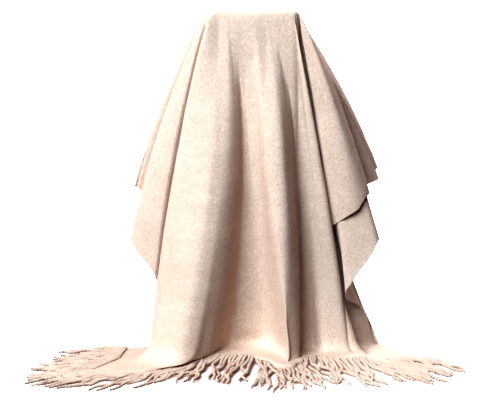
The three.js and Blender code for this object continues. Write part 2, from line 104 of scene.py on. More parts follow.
# One fold of the cloth, in order round the plinth. along: millimetres along the plinth's edge. fan: degrees by which
# the cloth has turned about the corner. high: where it stands at the height of the side edges. foot: where it meets
# the floor, or would. hem: where the cloth ends, with its height. fringe: degrees by which the strands turn. roll:
# how thick the hem rolls under itself. near: how much further out it stands just below the plinth's edge. half: how
# far its turn reaches to each side, small in a sharp tuck and large on a round crest.
NAMES = "name along fan high foot hem fringe roll near half"
Fold = namedtuple("Fold", NAMES, defaults=(None, None, 0, 0, (0, 0), 7))
EDGE = RIM_STRAIGHT
SEAM_FAN = 34
FRONT_FOLDS = [
    Fold("left side edge", -EDGE, -SEAM_FAN, (-142, -63), (-203, -64), (-216, -64, 0.8), -55),
    Fold("left end corner", -EDGE, -27.5, (-132, -78), (-190, -84), (-270, -82, 0.8), -62),
    Fold("left tuck", -EDGE, -22, (-122, -86), (-178, -106), (-284, -146, 1.4), -74, 0, (0, 8)),
    Fold("left train", -EDGE, -14, (-166, -116), (-212, -142), (-326, -236, 4), -78, 3, (-2, -4), 10),
    Fold("left crest", -64, 0, (-88, -164), (-142, -202), (-220, -244, 12), -66, 11, (0, 4), 26),
    Fold("left crest side", -48, 0, (-44, -146), (-94, -176), (-146, -198, 15), -40, 8, (0, 2), 14),
    Fold("deep valley", -30, 0, (-17, -102), (-36, -95), (-84, -160, 15), -16, 0, (-2, 0), 12),
    Fold("valley right", -21, 0, (0, -104), (22, -97), (-14, -164, 15), -6, 0, (-2, 0), 10),
    Fold("middle arch", 2, 0, (26, -131), (55, -137), (26, -188, 18), 4, 6, (0, 0), 12),
    Fold("middle crest", 28, 0, (54, -161), (76, -190), (68, -213, 14), 12, 12, (0, 4), 16),
    Fold("middle crest side", 46, 0, (84, -138), (95, -166), (98, -190, 12), 8, 10, (0, 4), 10),
    Fold("right valley", 64, 0, (102, -98), (114, -106), (118, -154, 9), 10, 0, (0, -1), 14),
    Fold("right crest", EDGE, 6, (130, -104), (166, -132), (188, -184, 16), 14, 0, (0, -2), 16),
    Fold("right edge fold", EDGE, 14, (155, -96), (204, -126), (226, -176, 15), 22, 0, (-3, -6), 9),
    Fold("right tuck", EDGE, 19, (124, -84), (182, -120), (262, -184, 8), 30, 0, (2, 18)),
    Fold("right corner fold", EDGE, 22.5, (132, -84), (222, -130), (290, -190, 8), 42, 0, (4, 22)),
    Fold("right under fold", EDGE, 25, (118, -74), (196, -100), (289, -157, 1.4), 40, 0, (2, 24)),
    Fold("right end corner", EDGE, 27.5, (126, -67), (222, -84), (341, -143, 0.8), 42, 0, (2, 24)),
    Fold("right side edge", EDGE, SEAM_FAN, (150, -62), (272, -50), (280, -46, 0.8), 50, 0, (2, 24)),
]
RIGHT_FOLDS = [
    Fold("front low band", -EDGE, -52, (152, -74), (262, -66), None, 0, 0, (2, 22)),
    Fold("front low tip", -EDGE, -48, (176, -98), (212, -142), None, 0, 0, (4, 16)),
    Fold("front low flap", -EDGE, -37, (230, -90), (318, -150), None, 0, 0, (8, 12)),
    Fold("front tuck", -EDGE, -29, (162, -84), None, None, 0, 0, (-2, -3)),
    Fold("front flap crest", -EDGE, -22, (202, -108), None, None, 0, 0, (5, -6), 12),
    Fold("front flap", -EDGE, -9, (243, -92), None, None, 0, 0, (0, 0), 9),
    Fold("side front valley", -EDGE + 14, 0, (239, -34)),
    Fold("side crest", -18, 0, (278, -12)),
    Fold("side valley", 40, 0, (254, 48)),
    Fold("back flap", EDGE, 7, (290, 122)),
    Fold("back tuck", EDGE, 28, (158, 58)),
    Fold("back low flap", EDGE, 40, (218, 107)),
]
BACK_FOLDS = [
    Fold("back right side edge", -EDGE, -SEAM_FAN, (146, 88), (196, 82), (208, 82, 0.8), 0),
    Fold("back right corner", -EDGE, -27.5, (131, 95), (184, 98), (222, 146, 0.8), 2),
    Fold("back right tuck", -EDGE, -22, (117, 105), (166, 118), (208, 172, 1.4), 6),
    Fold("back right edge fold", -EDGE, -12, (152, 130), (184, 156), (194, 212, 3), 8),
    Fold("back right crest", -58, 0, (108, 150), (128, 190), (136, 232, 2), 8),
    Fold("back right valley", -30, 0, (60, 108), (76, 138), (80, 186, 8), 4),
    Fold("back middle crest", 0, 0, (8, 148), (10, 192), (8, 238, 2), 0),
    Fold("back left valley", 32, 0, (-48, 108), (-58, 136), (-62, 184, 8), -5),
    Fold("back left crest", 60, 0, (-104, 148), (-126, 188), (-134, 230, 2), -8),
    Fold("back left edge fold", EDGE, 12, (-154, 126), (-184, 152), (-196, 206, 3), -8),
    Fold("back left tuck", EDGE, 22, (-117, 105), (-166, 118), (-207, 170, 1.4), -6),
    Fold("back left corner", EDGE, 27.5, (-131, 95), (-184, 98), (-221, 144, 0.8), -2),
    Fold("back left side edge", EDGE, SEAM_FAN, (-146, 88), (-194, 82), (-206, 82, 0.8), 0),
]
LEFT_FOLDS = [
    Fold("back low flap", -EDGE, -40, (-214, 108)),
    Fold("back tuck", -EDGE, -28, (-154, 62)),
    Fold("back flap", -EDGE, -10, (-236, 74)),
    Fold("side middle", 0, 0, (-230, 14)),
    Fold("front flap", EDGE, 10, (-249, -28)),
    Fold("front tuck", EDGE, 27, (-154, -44)),
    Fold("front low flap", EDGE, 38, (-228, -68)),
    Fold("front low tip", EDGE, 44.5, (-182, -93)),
]
FALLS = [(FRONT_FOLDS, True), (RIGHT_FOLDS, False), (BACK_FOLDS, True), (LEFT_FOLDS, False)]


def linear(code):
    """The linear colour of an sRGB hex value."""
    parts = [int(code[i : i + 2], 16) / 255 for i in (1, 3, 5)]
    return tuple(c / 12.92 if c <= 0.04045 else ((c + 0.055) / 1.055) ** 2.4 for c in parts)


def add_node(tree, kind, settings=None, values=None, links=None):
    """Adds a node to a tree, with its settings, its sockets' values and its links."""
    node = tree.nodes.new(kind)
    for name, value in (settings or {}).items():
        setattr(node, name, value)
    for name, value in (values or {}).items():
        node.inputs[name].default_value = value
    for name, source in (links or {}).items():
        tree.links.new(source, node.inputs[name])
    return node


def rim_at(distance):
    """The points of the rim at distances round it from the front middle, with their outward directions."""
    side = np.round(distance / SIDE_PITCH)
    along = distance - side * SIDE_PITCH
    past = np.maximum(0, np.abs(along) - RIM_STRAIGHT) * np.sign(along)
    facing_turn = (side - 1) * math.pi / 2
    turn = facing_turn + past / RIM_CORNER
    outward = np.stack([np.cos(turn), np.sin(turn)], -1)
    facing = np.stack([np.cos(facing_turn), np.sin(facing_turn)], -1)
    sideways = np.stack([-facing[..., 1], facing[..., 0]], -1)
    point = facing * RIM_STRAIGHT + sideways * (along - past)[..., None] + outward * RIM_CORNER
    return point, outward


def fold_values(fold, side, lands):
    """The numbers of one fold: distance round the rim, turn of the fan, places from the rim, hem, fringe, blend."""
    distance = side * SIDE_PITCH + fold.along + RIM_CORNER * math.radians(fold.fan)
    rim = rim_at(np.array(distance))[0]
    high = np.array(fold.high) - rim
    foot = np.array(fold.foot) - rim if fold.foot else high * FLARE
    hem = fold.hem or (*(rim + foot), FLOOR_Z)
    turned = abs(fold.fan) if lands else 90 - abs(fold.fan)
    blend = BLEND_CORNER_DROP if abs(fold.fan) > 5 else BLEND_EDGE_DROP
    return np.array([distance, turned, *high, *foot, *hem, fold.fringe, blend, fold.roll, *fold.near, fold.half])


def unit(v):
    return v / max(1e-9, np.linalg.norm(v))


def turn_ends(before, values, after):
    """One fold as the two ends of its turn, which lie to each side of its place, square to the way it points."""
    ends = []
    for sign in (-1, 1):
        end = values.copy()
        for n in (2, 4, 6):
            back = before[n : n + 2] - values[n : n + 2]
            on = after[n : n + 2] - values[n : n + 2]
            half = min(values[14], 0.36 * np.linalg.norm(back), 0.36 * np.linalg.norm(on))
            end[n : n + 2] += unit(unit(on) - unit(back)) * sign * half
        near = after if sign > 0 else before
        for n in (0, 1, 8, 9, 10, 11):
            end[n] += TURN_SHARE * (near[n] - values[n])
        ends.append(end)
    return ends


def ring_columns():
    """The columns of the cloth round the whole ring: their numbers, and whether each reaches the floor."""
    folds = []
    for side, (table, lands) in enumerate(FALLS):
        folds += [(side, lands, fold_values(fold, side, lands)) for fold in table]
    lap = 4 * SIDE_PITCH

    def around(rows, i):
        values = rows[i % len(rows)][2].copy()
        values[0] += lap * (i // len(rows))
        return values

    rows = []
    for i, (side, lands, values) in enumerate(folds):
        seam = folds[(i + 1) % len(folds)][0] != side or folds[i - 1][0] != side
        if seam and lands:
            rows.append((side, lands, values))
            continue
        rows += [(side, lands, end) for end in turn_ends(around(folds, i - 1), values, around(folds, i + 1))]
    out, owners = [], []
    for i, (side, lands, _) in enumerate(rows):
        a, b, c, d = (around(rows, i + k) for k in (-1, 0, 1, 2))
        span = max(math.hypot(*(c[4:6] - b[4:6])), math.hypot(*(c[6:8] - b[6:8])))
        steps = max(1, math.floor(span / COLUMN_PITCH + 0.5)) * FINE
        following = rows[(i + 1) % len(rows)]
        for k in range(steps):
            t = k / steps
            cubic = -a + 3 * b - 3 * c + d
            square = 2 * a - 5 * b + 4 * c - d
            values = 0.5 * (2 * b + (c - a) * t + square * t * t + cubic * t ** 3)
            values[:2] = b[:2] + (c[:2] - b[:2]) * t
            out.append(values)
            owners.append(following[1] if k > 0 and lands and not following[1] else lands)
    return np.array(out), np.array(owners)


def kept_clear(plan, gap):
    """Plan points kept clear of the plinth, by a gap between the plinth and the middle of the cloth's thickness."""
    straight = PLINTH_SIDE / 2 - PLINTH_CORNER
    over = np.maximum(0, np.abs(plan) - straight)
    far = np.linalg.norm(over, axis=-1)
    short = PLINTH_CORNER + gap - far
    push = np.where((short > 0) & (far > 0), short / np.maximum(far, 1e-9), 0)
    return plan + np.sign(plan) * over * push[..., None]


def smoothed(values, sigma):
    """Values round the ring, blended with their neighbours."""
    window = int(math.ceil(3 * sigma))
    out = np.zeros_like(values)
    total = 0.0
    for k in range(-window, window + 1):
        weight = math.exp(-0.5 * (k / sigma) ** 2)
        out += weight * np.roll(values, -k, axis=0)
        total += weight
    return out / total


def section_at(columns, rims, z):
    """Where each column stands in plan at a height."""
    drop = TOP_Z - z
    share = drop / (TOP_Z - FOOT_Z)
    high, foot = columns[:, 2:4], columns[:, 4:6]
    curve = (foot * HIGH_SHARE - high) / (HIGH_SHARE - HIGH_SHARE ** 2)
    raw = (foot - curve) * share + curve * share * share
    blend = np.exp(-((drop / columns[:, 10]) ** 2))[:, None]
    plan = rims + raw + (smoothed(raw, BLEND_COLUMNS * FINE) - raw) * blend
    plan += columns[:, 12:14] * (share / NEAR_SHARE) * math.exp(1 - share / NEAR_SHARE)
    return kept_clear(plan, OFFSET + min(STAND_OFF, 0.05 * drop))


def along_line(line, distances):
    """Points along a line at the given distances."""
    far = np.concatenate([[0], np.cumsum(np.linalg.norm(np.diff(line, axis=0), axis=1))])
    return np.stack([np.interp(distances, far, line[:, n]) for n in range(3)], -1)


def hem_line(flat, hem, roll):
    """The cloth's way out to the hem, where it rolls under itself, with the distances of its rows."""
    line = [flat, hem]
    if roll > 0.5:
        out = np.array([*unit(hem[:2] - flat[:2]), 0])
        radius = min(roll, hem[2] - FLOOR_Z) / 2
        for angle in np.linspace(0, math.pi, 9)[1:]:
            line.append(hem + out * radius * math.sin(angle) - np.array([0, 0, radius * (1 - math.cos(angle))]))
        line.append(line[-1] - out * roll)
    line = np.array(line)
    return line, np.linspace(0, line_length(line), FLOOR_ROWS + 1)[1:]


def line_length(line):
    return float(np.linalg.norm(np.diff(line, axis=0), axis=1).sum())


def ring_grid(columns, lands):
    """The cloth's points, columns by rows, and how far down the cloth each one is."""
    rims, outward = rim_at(columns[:, 0])
    levels = np.linspace(TOP_Z - BEND, FOOT_Z, 121)
    sections = np.stack([section_at(columns, rims, z) for z in levels])
    grid = []
    for j, values in enumerate(columns):
        line = np.column_stack([sections[:, j], levels])
        angle = np.linspace(0, math.pi / 2, BEND_ROWS, endpoint=False)
        bend = np.column_stack(
            [rims[j] + outward[j] * BEND * (np.sin(angle) - 1)[:, None], TOP_Z - BEND * (1 - np.cos(angle))]
        )
        if lands[j]:
            high = line[line[:, 2] > LANDING_Z]
            foot = np.array([*(rims[j] + values[4:6]), max(FLOOR_Z, values[8])])
            hem = np.array([values[6], values[7], max(FLOOR_Z, values[8])])
            flat = foot + 0.4 * (hem - foot)
            t = np.linspace(0, 1, LANDING_ROWS + 1)[1:, None]
            landing = (1 - t) ** 2 * high[-1] + 2 * t * (1 - t) * foot + t * t * flat
            floor = along_line(*hem_line(flat, hem, values[11]))
            hang = along_line(high, np.linspace(0, line_length(high), HANG_ROWS + 1))
            grid.append(np.concatenate([bend, hang, landing, floor]))
            continue
        reach = min(SIDE_DROP / math.sin(math.radians(values[1])) - BEND * math.pi / 2, line_length(line))
        upper = np.linspace(0, HANG_PART * reach, HANG_ROWS + 1)
        lower = np.linspace(HANG_PART * reach, reach, LANDING_ROWS + FLOOR_ROWS + 1)[1:]
        grid.append(np.concatenate([bend, along_line(line, np.concatenate([upper, lower]))]))
    grid = np.array(grid)
    down = np.concatenate(
        [np.zeros((len(grid), 1)), np.cumsum(np.linalg.norm(np.diff(grid, axis=1), axis=2), axis=1)], axis=1
    )
    # Where each point lies on the flat cloth: the rim's place and the way down from it.
    flat = rims[:, None] - outward[:, None] * BEND + outward[:, None] * down[..., None]
    return grid, flat


def grid_normals(grid):
    """The unit normals of the ring's points, facing away from the plinth."""
    across = np.roll(grid, -1, axis=0) - np.roll(grid, 1, axis=0)
    fall = np.gradient(grid, axis=1)
    normals = np.cross(fall, across)
    normals /= np.maximum(1e-9, np.linalg.norm(normals, axis=2, keepdims=True))
    return normals


def noise_2d(u, v, seed, cell):
    """Smooth random values from -1 to 1 on plan places, with the given cell."""
    rng = np.random.default_rng(seed)
    table = rng.uniform(-1, 1, (257, 257))
    x, y = u / cell + 128, v / cell + 128
    i, j = np.floor(x).astype(int), np.floor(y).astype(int)
    fx, fy = x - i, y - j
    fx, fy = fx * fx * (3 - 2 * fx), fy * fy * (3 - 2 * fy)
    i, j = i % 256, j % 256
    top = table[i, j] * (1 - fx) + table[i + 1, j] * fx
    low = table[i, j + 1] * (1 - fx) + table[i + 1, j + 1] * fx
    return top * (1 - fy) + low * fy


def cloth_mesh():
    """The shawl as a closed thin shell, with the places of its front and back hem."""
    thick = 1.5
    columns, lands = ring_columns()
    grid, flat = ring_grid(columns, lands)
    count, rows = grid.shape[:2]
    normals = grid_normals(grid)
    # Soft unevenness of hanging wool: long shallow waves down the cloth, and smaller ones across it.
    u, v = flat[..., 0], flat[..., 1]
    fall = np.minimum(1, np.maximum(0, (TOP_Z - grid[..., 2] - 20) / 160))
    along_axis = np.where(lands[:, None], v, u)
    cross_axis = np.where(lands[:, None], u, v)
    wave = 2.2 * noise_2d(cross_axis, along_axis * 0.25, 11, 34) + 1.0 * noise_2d(u, v, 12, 21)
    push = normals * (wave * fall * np.clip(grid[..., 2] / 40, 0.15, 1))[..., None]
    grid = grid + smoothed(push, WAVE_COLUMNS)
    grid[..., 2] = np.maximum(grid[..., 2], FLOOR_Z)
    normals = grid_normals(grid)
    outer = grid + normals * thick / 2
    inner = grid - normals * thick / 2
    return columns, lands, grid, flat, outer, inner


def top_rings(edge, flat_edge):
    """The cloth on the plinth's top, as rings that halve their points towards the middle."""
    rings, flats = [], []
    points, flat = edge, flat_edge
    for share in (0.93, 0.82, 0.66, 0.42, 0.2):
        if len(points) % 2 == 0 and len(points) > 24:
            points, flat = points[::2], flat[::2]
        z = edge[::1][0][2]
        scale = share / (rings[-1][1] if rings else 1)
        points = np.column_stack([points[:, :2] * scale, np.full(len(points), z)])
        flat = flat * scale
        rings.append((points, share))
        flats.append(flat)
    return [r[0] for r in rings], flats


def shell_of(outer, inner, flat):
    """Vertices, faces and flat places of a closed shell on the ring's outer and inner points."""
    verts, places, faces = [], [], []
    count, rows = outer.shape[:2]
    index = []
    for side, layer in enumerate((outer, inner)):
        base = sum(len(v) for v in verts)
        verts.append(layer.reshape(-1, 3))
        places.append(flat.reshape(-1, 2))
        at = base + np.arange(count * rows).reshape(count, rows)
        index.append(at)
        nxt = np.roll(at, -1, axis=0)
        quads = np.stack([at[:, :-1], at[:, 1:], nxt[:, 1:], nxt[:, :-1]], -1).reshape(-1, 4)
        faces += (quads if side == 0 else quads[:, ::-1]).tolist()
        edge = at[:, 0]
        z_edge = layer[:, 0]
        rings, flats = top_rings(z_edge, flat[:, 0])
        for ring, where in zip(rings, flats):
            start = sum(len(v) for v in verts)
            verts.append(ring)
            places.append(where)
            new = start + np.arange(len(ring))
            if len(new) == len(edge):
                tris = [(int(a), int(b), int(d), int(c)) for a, b, c, d in zip(edge, np.roll(edge, -1), new, np.roll(new, -1))]
                tris = [(a, b, d, c) for a, b, d, c in tris]
            else:
                tris = []
                for k in range(len(new)):
                    a, b, c = edge[2 * k], edge[(2 * k + 1) % len(edge)], edge[(2 * k + 2) % len(edge)]
                    m, n = new[k], new[(k + 1) % len(new)]
                    tris += [(int(a), int(b), int(m)), (int(b), int(n), int(m)), (int(b), int(c), int(n))]
            faces += [t if side == 0 else t[::-1] for t in tris]
            edge = new
        middle = sum(len(v) for v in verts)
        verts.append(np.array([[0, 0, z_edge[0][2]]]))
        places.append(np.zeros((1, 2)))
        fan = [(int(a), int(b), middle) for a, b in zip(edge, np.roll(edge, -1))]
        faces += [t if side == 0 else t[::-1] for t in fan]
    # The hem closes the shell.
    o, i = index[0][:, -1], index[1][:, -1]
    hem = np.stack([o, i, np.roll(i, -1), np.roll(o, -1)], -1)
    faces += hem.tolist()
    return np.concatenate(verts), faces, np.concatenate(places)


def mesh_object(name, verts, faces, flat=None):
    """A smooth-shaded object from points in millimetres, with a UV map of flat places in metres."""
    mesh = bpy.data.meshes.new(name)
    mesh.from_pydata((np.asarray(verts) * MM).tolist(), [], faces)
    mesh.validate(clean_customdata=False)
    mesh.shade_smooth()
    if flat is not None:
        layer = mesh.uv_layers.new(name="flat_cloth")
        corner = np.zeros(len(mesh.loops), dtype=np.int32)
        mesh.loops.foreach_get("vertex_index", corner)
        layer.data.foreach_set("uv", (flat[corner] * MM).ravel())
    obj = bpy.data.objects.new(name, mesh)
    bpy.context.collection.objects.link(obj)
    return obj


def wool_material(name, settings, painted_shade=1.0):
    """Brushed pashmina: fine matt goat wool whose nap scatters the light and hides the weave. A painted shade below 1
    darkens both colours.
    """
    material = bpy.data.materials.new(name)
    material.use_nodes = True
    tree = material.node_tree
    tree.nodes.clear()
    where = add_node(tree, "ShaderNodeTexCoord").outputs["Object"]

    def noise(size_mm, detail, roughness=0.5, stretch=(1, 1, 1)):
        mapping = add_node(tree, "ShaderNodeMapping", None, {"Scale": stretch}, {"Vector": where})
        scale = 1 / (size_mm * MM)
        return add_node(
            tree,
            "ShaderNodeTexNoise",
            None,
            {"Scale": scale, "Detail": detail, "Roughness": roughness},
            {"Vector": mapping.outputs[0]},
        ).outputs[0]

    nap = noise(settings.nap_size / MM, 3, 0.65)
    speck = noise(settings.nap_size / MM * 1.7, 2, 0.6)
    mottle = noise(26, 3, 0.6)
    drift = noise(150, 2)

    def mix_math(operation, *inputs, clamp=False):
        node = add_node(tree, "ShaderNodeMath", {"operation": operation, "use_clamp": clamp})
        for i, source in enumerate(inputs):
            if isinstance(source, (int, float)):
                node.inputs[i].default_value = source
            else:
                tree.links.new(source, node.inputs[i])
        return node.outputs[0]

    mixed = mix_math("MULTIPLY", nap, 0.58)
    mixed = mix_math("MULTIPLY_ADD", speck, 0.22, mixed)
    mixed = mix_math("MULTIPLY_ADD", mottle, 0.1, mixed)
    mixed = mix_math("MULTIPLY_ADD", drift, 0.1, mixed)
    ramp = add_node(tree, "ShaderNodeValToRGB", None, None, {"Fac": mixed})
    ramp.color_ramp.elements[0].position = 0.32
    ramp.color_ramp.elements[0].color = (*(painted_shade * c for c in settings.deep_colour), 1)
    ramp.color_ramp.elements[1].position = 0.68
    ramp.color_ramp.elements[1].color = (*(painted_shade * c for c in settings.pale_colour), 1)
    bump_height = mix_math("MULTIPLY_ADD", nap, 0.5, mix_math("MULTIPLY", speck, 0.8))
    bump = add_node(
        tree, "ShaderNodeBump", None, {"Strength": 0.5, "Distance": 0.0009}, {"Height": bump_height}
    )
    shader = add_node(
        tree,
        "ShaderNodeBsdfPrincipled",
        None,
        {
            "Roughness": 0.95,
            "IOR": 1.45,
            "Specular IOR Level": 0.15,
            "Sheen Weight": 0.35,
            "Sheen Roughness": 0.55,
            "Sheen Tint": (*linear("#ffe9dc"), 1),
        },
        {"Base Color": ramp.outputs["Color"], "Normal": bump.outputs[0]},
    )
    add_node(tree, "ShaderNodeOutputMaterial", None, None, {"Surface": shader.outputs[0]})
    return material


class ShawlSettings(bpy.types.PropertyGroup):
    nap_size: bpy.props.FloatProperty(
        name="Nap size",
        description="Size of the tufts of the brushed nap, drawn coarser than real so that they show",
        default=0.0032,
        unit="LENGTH",
    )
    deep_colour: bpy.props.FloatVectorProperty(
        name="Deep colour", description="Wool colour between the tufts", subtype="COLOR", default=linear("#c6ab9d")
    )
    pale_colour: bpy.props.FloatVectorProperty(
        name="Pale colour", description="Wool colour on the tufts", subtype="COLOR", default=linear("#e3d0c3")
    )


class FringeSettings(bpy.types.PropertyGroup):
    strands: bpy.props.IntProperty(name="Front strands", description="Strands of the front hem", default=142)
    back_strands: bpy.props.IntProperty(name="Back strands", description="Strands of the back hem", default=104)
    length: bpy.props.FloatProperty(
        name="Length", description="Length of a strand", default=0.126, unit="LENGTH"
    )
    radius: bpy.props.FloatProperty(
        name="Radius", description="Radius of a twisted strand", default=0.0045, unit="LENGTH"
    )
    twist_pitch: bpy.props.FloatProperty(
        name="Twist pitch", description="Length of one turn of the plies", default=0.022, unit="LENGTH"
    )


class StageSettings(bpy.types.PropertyGroup):
    floor_size: bpy.props.FloatProperty(name="Floor size", description="Side of the floor", default=60, unit="LENGTH")
    key_power: bpy.props.FloatProperty(name="Key power", description="Power of the key light", default=490)
    world_power: bpy.props.FloatProperty(name="World power", description="Strength of the white surround", default=2.0)


def hem_strands(columns, lands, grid, front, settings):
    """The paths of one hem's strands, in millimetres: from the hem down to the floor and along it."""
    side_sign = -1 if front else 1
    rim_side = np.round(columns[:, 0] / SIDE_PITCH) % 4
    chosen = [i for i in range(len(columns)) if lands[i] and rim_side[i] == (0 if front else 2) and columns[i, 1] < 28]
    if front:
        chosen.sort(key=lambda i: (columns[i, 0] + 2 * SIDE_PITCH) % (4 * SIDE_PITCH))
    ends = grid[chosen, -1]
    before = grid[chosen, -3]
    turns = columns[chosen, 9]
    rolls = columns[chosen, 11]
    far = np.concatenate([[0], np.cumsum(np.linalg.norm(np.diff(ends, axis=0), axis=1))])
    rng = np.random.default_rng(5 if front else 6)
    paths = []
    strands = settings.strands if front else settings.back_strands
    for s in range(strands):
        want = far[-1] * (s + 0.5 + rng.uniform(-0.22, 0.22)) / strands
        root = np.array([np.interp(want, far, ends[:, n]) for n in range(3)])
        inner = np.array([np.interp(want, far, before[:, n]) for n in range(3)])
        turn = math.radians(np.interp(want, far, turns) + rng.normal(0, 11 if front else 4))
        away = np.array([math.sin(turn), side_sign * math.cos(turn), 0])
        rolled = min(1, max(0, np.interp(want, far, rolls)) / 4)
        ahead = unit(unit(root - inner) * (1 - rolled) + away * rolled)
        sideways = np.array([-away[1], away[0], 0])
        length = settings.length / MM * rng.uniform(0.9, 1.08)
        bow = rng.normal(0, 12 if front else 5)
        amp, phase = rng.uniform(1.5, 6.0), rng.uniform(0, 6.28)
        waves = rng.uniform(1.4, 2.8)
        rest = settings.radius / MM + rng.uniform(0, 2.6)
        root = root - ahead * 3
        path = []
        steps = 16
        for k in range(steps + 1):
            t = k / steps
            blend = min(1, t / 0.3)
            blend = blend * blend * (3 - 2 * blend)
            straight = ahead * min(t, 0.3) * length * 0.85 + away * max(0, t - 0.15) * length
            p = root + straight
            p = p + sideways * (bow * t * t + amp * blend * math.sin(phase + waves * 2 * math.pi * t))
            rise = rest + 1.6 * math.sin(phase * 2 + 9 * t)
            p[2] = max(settings.radius / MM, root[2] * (1 - blend) + rise * blend)
            path.append(np.clip(p, (-470 if front else -222, -350, 0), (428, 372, 99)))
        paths.append(np.array(path))
    return paths


def strand_tree(material, settings):
    """Twisted strands along guide lines: a three-lobed section that turns as it goes, thin at the tip."""
    tree = bpy.data.node_groups.new("twisted_strands", "GeometryNodeTree")
    tree.interface.new_socket("Guides", in_out="INPUT", socket_type="NodeSocketGeometry")
    for name, value in (("Radius", settings.radius), ("Twist pitch", settings.twist_pitch)):
        socket = tree.interface.new_socket(name, in_out="INPUT", socket_type="NodeSocketFloat")
        socket.default_value = value
    tree.interface.new_socket("Strands", in_out="OUTPUT", socket_type="NodeSocketGeometry")
    source = add_node(tree, "NodeGroupInput")
    curve = add_node(tree, "GeometryNodeMeshToCurve", None, None, {"Mesh": source.outputs["Guides"]})
    fine = add_node(
        tree, "GeometryNodeResampleCurve", {"mode": "COUNT"}, {"Count": 30}, {"Curve": curve.outputs[0]}
    )
    place = add_node(tree, "GeometryNodeSplineParameter")
    taper = add_node(tree, "ShaderNodeFloatCurve", None, None, {"Value": place.outputs["Factor"]})
    points = taper.mapping.curves[0].points
    points[0].location = (0, 0.72)
    points[1].location = (1, 0.55)
    points.new(0.12, 1.0)
    points.new(0.8, 0.86)
    taper.mapping.update()
    radius = add_node(
        tree,
        "ShaderNodeMath",
        {"operation": "MULTIPLY"},
        None,
        {0: taper.outputs[0], 1: source.outputs["Radius"]},
    )
    turns = add_node(
        tree,
        "ShaderNodeMath",
        {"operation": "DIVIDE"},
        None,
        {0: place.outputs["Length"], 1: source.outputs["Twist pitch"]},
    )
    tilt = add_node(tree, "ShaderNodeMath", {"operation": "MULTIPLY"}, {1: 2 * math.pi}, {0: turns.outputs[0]})
    sized = add_node(
        tree, "GeometryNodeSetCurveRadius", None, None, {"Curve": fine.outputs[0], "Radius": radius.outputs[0]}
    )
    twisted = add_node(
        tree, "GeometryNodeSetCurveTilt", None, None, {"Curve": sized.outputs[0], "Tilt": tilt.outputs[0]}
    )
    section = add_node(
        tree,
        "GeometryNodeCurveStar",
        None,
        {"Points": 3, "Inner Radius": 0.7, "Outer Radius": 1.0},
    )
    rounded = add_node(
        tree, "GeometryNodeCurveSplineType", {"spline_type": "CATMULL_ROM"}, None, {"Curve": section.outputs[0]}
    )
    smooth = add_node(
        tree, "GeometryNodeResampleCurve", {"mode": "COUNT"}, {"Count": 9}, {"Curve": rounded.outputs[0]}
    )
    body = add_node(
        tree,
        "GeometryNodeCurveToMesh",
        None,
        {"Fill Caps": True},
        {"Curve": twisted.outputs[0], "Profile Curve": smooth.outputs[0], "Scale": radius.outputs[0]},
    )
    soft = add_node(tree, "GeometryNodeSetShadeSmooth", None, None, {"Geometry": body.outputs[0]})
    real = add_node(tree, "GeometryNodeRealizeInstances", None, None, {"Geometry": soft.outputs[0]})
    dressed = add_node(
        tree, "GeometryNodeSetMaterial", None, {"Material": material}, {"Geometry": real.outputs[0]}
    )
    add_node(tree, "NodeGroupOutput", None, None, {"Strands": dressed.outputs[0]})
    return tree


def strands_object(name, paths, tree):
    """The mesh that the tree makes along the given paths."""
    verts = np.concatenate(paths) * MM
    edges, start = [], 0
    for path in paths:
        edges += [(start + k, start + k + 1) for k in range(len(path) - 1)]
        start += len(path)
    guides = bpy.data.meshes.new(name + "_guides")
    guides.from_pydata(verts.tolist(), edges, [])
    obj = bpy.data.objects.new(name, guides)
    bpy.context.collection.objects.link(obj)
    modifier = obj.modifiers.new("strands", "NODES")
    modifier.node_group = tree
    depsgraph = bpy.context.evaluated_depsgraph_get()
    made = bpy.data.meshes.new_from_object(obj.evaluated_get(depsgraph))
    obj.modifiers.clear()
    obj.data = made
    made.name = name
    return obj


